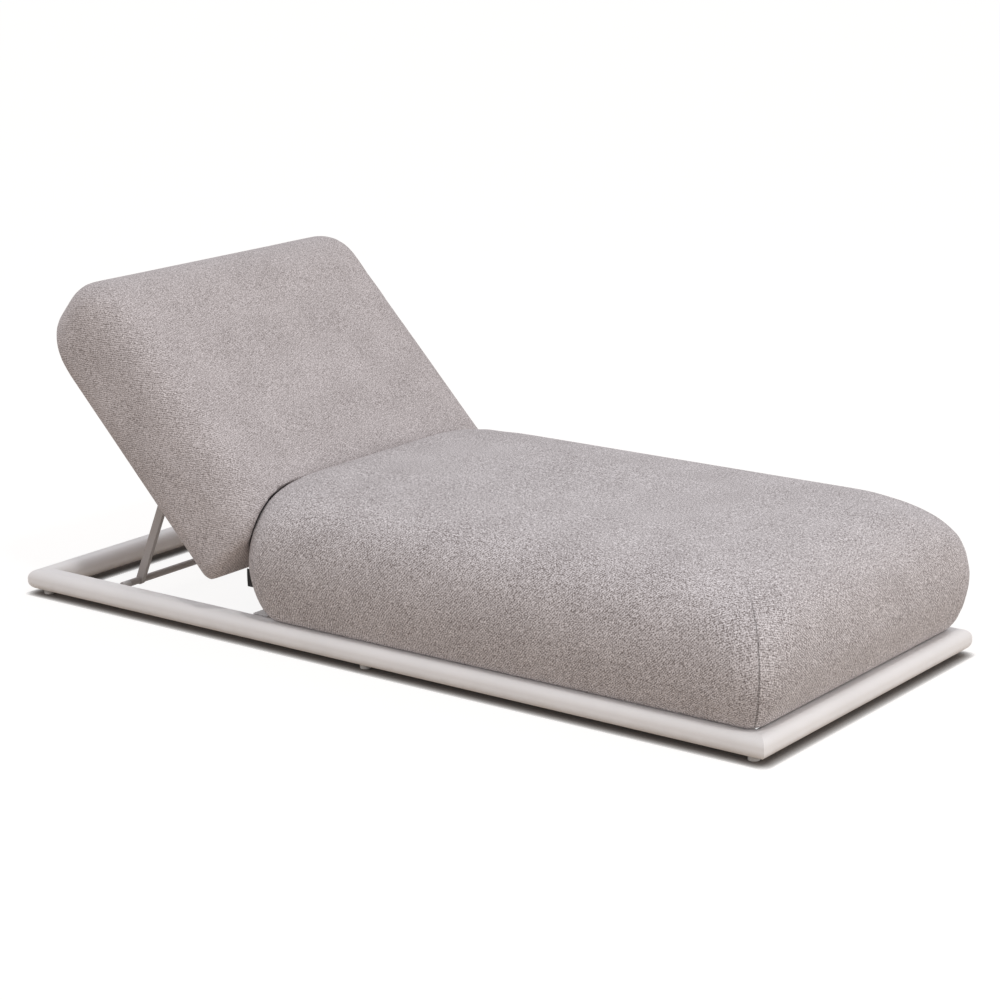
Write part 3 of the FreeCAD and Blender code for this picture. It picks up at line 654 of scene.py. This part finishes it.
def pressed_by_seat(points, clearance):
    """Points inside the seat's end are moved, in their own lengthwise plane, to the nearest point of
    its curve there: the seat's side curve, set back where the seat's corner rounds away, and set off
    by the clearance."""
    draw, height = seat_side(60)
    upper = height > seat_bulge - 0.001
    draw, height = draw[upper], height[upper]
    edge = np.stack([seat_low.x + seat_head_square * draw,
                     seat_bottom + (height - seat_bottom) * (1 + seat_head_rise)], -1)
    step = np.gradient(edge, axis=0)
    out = np.stack([-step[:, 1], step[:, 0]], -1)
    edge = edge + clearance * out / np.linalg.norm(out, axis=1, keepdims=True)
    edge = np.concatenate([[[edge[0, 0], 0.0]], edge])
    draw = np.concatenate([[0.0], draw])
    height = np.concatenate([[seat_bulge], height])
    station_count = 700
    stations = np.linspace(0, len(edge) - 1, station_count)
    x, z, draw, height = [np.interp(stations, np.arange(len(edge)), values)
                          for values in (edge[:, 0], edge[:, 1], draw, height)]
    corner = head_corner((height - seat_bottom) / (seat_top - seat_bottom))
    corner = np.minimum(corner, seat_corner_limit * (seat_half_wide - draw))
    moved = points.reshape(-1, 3).copy()
    near = np.flatnonzero((moved[:, 0] > seat_low.x - clearance) & (moved[:, 2] < z[-1]))
    over = np.abs(moved[near, 1])[:, None] - (seat_half_wide - draw - corner)
    over = np.clip(over, 0, corner)
    curve = x + corner - np.sqrt(np.maximum(corner ** 2 - over ** 2, 0))
    ahead = moved[near, 0][:, None] - curve
    below = z - moved[near, 2][:, None]
    level_with = np.argmax(below > 0, axis=1)
    inside = ahead[np.arange(len(near)), level_with] > 0
    gap = np.hypot(ahead, below)[inside]
    best = gap.argmin(1)
    rows = near[inside]
    moved[rows, 0] = curve[inside][np.arange(len(rows)), best]
    moved[rows, 2] = z[best]
    return moved.reshape(points.shape)


def straight_run(column):
    """Points spread evenly along the straight run from one column of the rings to the next."""
    first, second = rings[:, [column]], rings[:, [column + 1]]
    return [first * (1 - t) + second * t for t in np.linspace(0, 1, 40)[1:-1]]


head_run, end_run = corner_steps - 1, 3 * corner_steps - 1
fine = np.concatenate([rings[:, :head_run + 1], *straight_run(head_run),
                       rings[:, head_run + 1:end_run + 1], *straight_run(end_run),
                       rings[:, end_run + 1:]], axis=1)
back_cushion = ring_piece("back_cushion", turned_up(fine, back_turn))
even_faces(back_cushion, back_face)
back_points = pressed_by_seat(points_of(back_cushion), press_clearance_first)
back_cushion.data.vertices.foreach_set("co", back_points.ravel())
even_faces(back_cushion, back_face)
flat_points = turned_up(points_of(back_cushion), -back_turn)
back_sewn = flat_points[:, 2] < back_under + back_hem
plump(back_cushion, back_sewn, cover_travel)
back_points = pressed_by_seat(points_of(back_cushion), press_clearance)
back_cushion.data.vertices.foreach_set("co", back_points.ravel())
for side in (-1, 1):
    across = sorted(side * reach for reach in arm_across)
    corners = [(x, y, z) for x in arm_along for y in across for z in arm_height]
    faces = [(0, 1, 3, 2), (4, 6, 7, 5), (0, 4, 5, 1), (2, 3, 7, 6), (0, 2, 6, 4), (1, 5, 7, 3)]
    cutter_mesh = bpy.data.meshes.new("arm_room")
    cutter_mesh.from_pydata(turned_up(np.array(corners), back_turn).tolist(), [], faces)
    cutter = bpy.data.objects.new("arm_room", cutter_mesh)
    bpy.context.scene.collection.objects.link(cutter)
    room = back_cushion.modifiers.new("arm_room", "BOOLEAN")
    room.operation = "DIFFERENCE"
    room.object = cutter
    settle(back_cushion)
    bpy.data.objects.remove(cutter)
    bpy.data.meshes.remove(cutter_mesh)
flat_points = turned_up(points_of(back_cushion), -back_turn) - [back_middle, 0, 0]
cut_cloth(back_cushion, flat_points, back_half_long, back_half_wide, side_draw, head_draw,
          foot_draw=end_draw, height=height, base_edge=back_base_edge)
below_all = (0.0, 0.01)
back_cloth = cushion_cloth("back_cloth", light=screen_colour(233, 224, 222),
                           dark=screen_colour(116, 106, 102), heather=0.55, seam_fade=below_all)
back_cushion.data.materials.clear()
back_cushion.data.materials.append(back_cloth)
soft_edges(back_cushion)
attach(back_cushion, "backrest")
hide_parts("back_cover", "back_foam")

# Prop: two flat steel legs on lugs behind the backrest, joined by a round foot bar that stands
# in the racks on two rubber sleeves. It has a taupe coat that goes with the cloth.
taupe_coat = powder_coat("taupe_coat", colour=screen_colour(168, 160, 155),
                         dust=screen_colour(176, 168, 158), satin=0.45, peel_depth=0.0004)
sleeve_rubber = moulded_plastic("sleeve_rubber", screen_colour(198, 194, 191), grain=900.0, roughness=0.6)
dress(taupe_coat, "left_prop_lug", "right_prop_lug", "left_prop_leg", "right_prop_leg", "prop_foot_bar")
dress(sleeve_rubber, "left_foot_sleeve", "right_foot_sleeve")

# Studio: a wide pale floor that shows white to the camera, with a painted shadow under the frame
# where its glow is cut by ambient occlusion and a faint real shadow in its dim diffuse part; a soft
# sky that gives most of the light, a high lamp and a weak, low one at the foot.
floor_reach = 60
floor_bounce = (0.53, 0.455, 0.38, 1)
floor_shade = (0.18, 0.16, 0.145, 1)
floor_glow = 0.88
shadow_reach = 0.024
shadow_power = 4.0
sky_colour = (0.95, 0.955, 1.0, 1)
sky_light = 0.79
sky_shown = 1.05


def shown(tree):
    """1 for the rays that show a thing itself: from the camera, in a reflection or through glass."""
    ray = put(tree, "ShaderNodeLightPath").outputs
    seen = calc(tree, "ADD", ray["Is Camera Ray"], ray["Is Glossy Ray"])
    seen = calc(tree, "ADD", seen, ray["Is Transmission Ray"])
    return calc(tree, "MINIMUM", seen, 1.0)


floor_mesh = bpy.data.meshes.new("studio_floor")
floor_edge = [(-floor_reach, -floor_reach, 0), (floor_reach, -floor_reach, 0),
              (floor_reach, floor_reach, 0), (-floor_reach, floor_reach, 0)]
floor_mesh.from_pydata(floor_edge, [], [(0, 1, 2, 3)])
floor = bpy.data.objects.new("studio_floor", floor_mesh)
bpy.context.scene.collection.objects.link(floor)
floor_finish = bpy.data.materials.new("studio_floor")
floor_finish.use_nodes = True
tree = floor_finish.node_tree
tree.nodes.clear()
seen = shown(tree)
# Painted shadow: the glow that the camera sees is cut by ambient occlusion near the object, which darkens
# the floor under the rails.
open_sky = put(tree, "ShaderNodeAmbientOcclusion", {"Distance": shadow_reach}, samples=12).outputs["AO"]
painted_shadow_glow = calc(tree, "MULTIPLY", calc(tree, "POWER", open_sky, shadow_power), floor_glow)
glow = calc(tree, "MULTIPLY", seen, painted_shadow_glow)
tone = blend_colour(tree, seen, floor_bounce, floor_shade)
paint = put(tree, "ShaderNodeBsdfDiffuse", {"Color": tone}).outputs[0]
light = put(tree, "ShaderNodeEmission", {"Strength": glow}).outputs[0]
both = put(tree, "ShaderNodeAddShader", {0: paint, 1: light}).outputs[0]
put(tree, "ShaderNodeOutputMaterial", {"Surface": both})
floor.data.materials.append(floor_finish)

world = bpy.data.worlds.new("studio_sky")
world.use_nodes = True
tree = world.node_tree
tree.nodes.clear()
strength = span(tree, shown(tree), 0.0, 1.0, sky_light, sky_shown)
sky = put(tree, "ShaderNodeBackground", {"Color": sky_colour, "Strength": strength}).outputs[0]
put(tree, "ShaderNodeOutputWorld", {"Surface": sky})
bpy.context.scene.world = world


def broad_lamp(name, place, aim, size, power):
    """A square studio lamp at a place, turned to its aim."""
    lamp = bpy.data.lights.new(name, "AREA")
    lamp.size = size
    lamp.energy = power
    holder = bpy.data.objects.new(name, lamp)
    bpy.context.scene.collection.objects.link(holder)
    away = np.array(place) - np.array(aim)
    away = away / np.linalg.norm(away)
    side = np.cross((0, 0, 1), away)
    side = side / np.linalg.norm(side)
    up = np.cross(away, side)
    turn = np.eye(4)
    turn[:3, :3] = np.stack([side, up, away], -1)
    turn[:3, 3] = place
    holder.matrix_world = Matrix(turn.tolist())


broad_lamp("key_lamp", place=(2.9, -2.1, 5.55), aim=(0.0, 0.0, 0.3), size=0.5, power=92.0)
broad_lamp("low_lamp", place=(3.6, 0.6, 0.45), aim=(0.9, 0.0, 0.2), size=1.2, power=15.0)

# Camera: a long lens at the place solved on the mitred frame's corners in the photograph. Its
# columns are the view's right, up and back, and where it stands.
camera = bpy.data.cameras.new("camera")
camera.sensor_width = 36.0
camera.lens = 94.36
camera_object = bpy.data.objects.new("camera", camera)
bpy.context.scene.collection.objects.link(camera_object)
camera_object.matrix_world = Matrix(((0.79362, -0.14279, 0.59142, 3.4281),
                                     (0.60816, 0.21415, -0.76438, -4.3509),
                                     (-0.01751, 0.96631, 0.25680, 1.7522),
                                     (0, 0, 0, 1)))
bpy.context.scene.camera = camera_object
bpy.context.scene.view_settings.view_transform = "Standard"
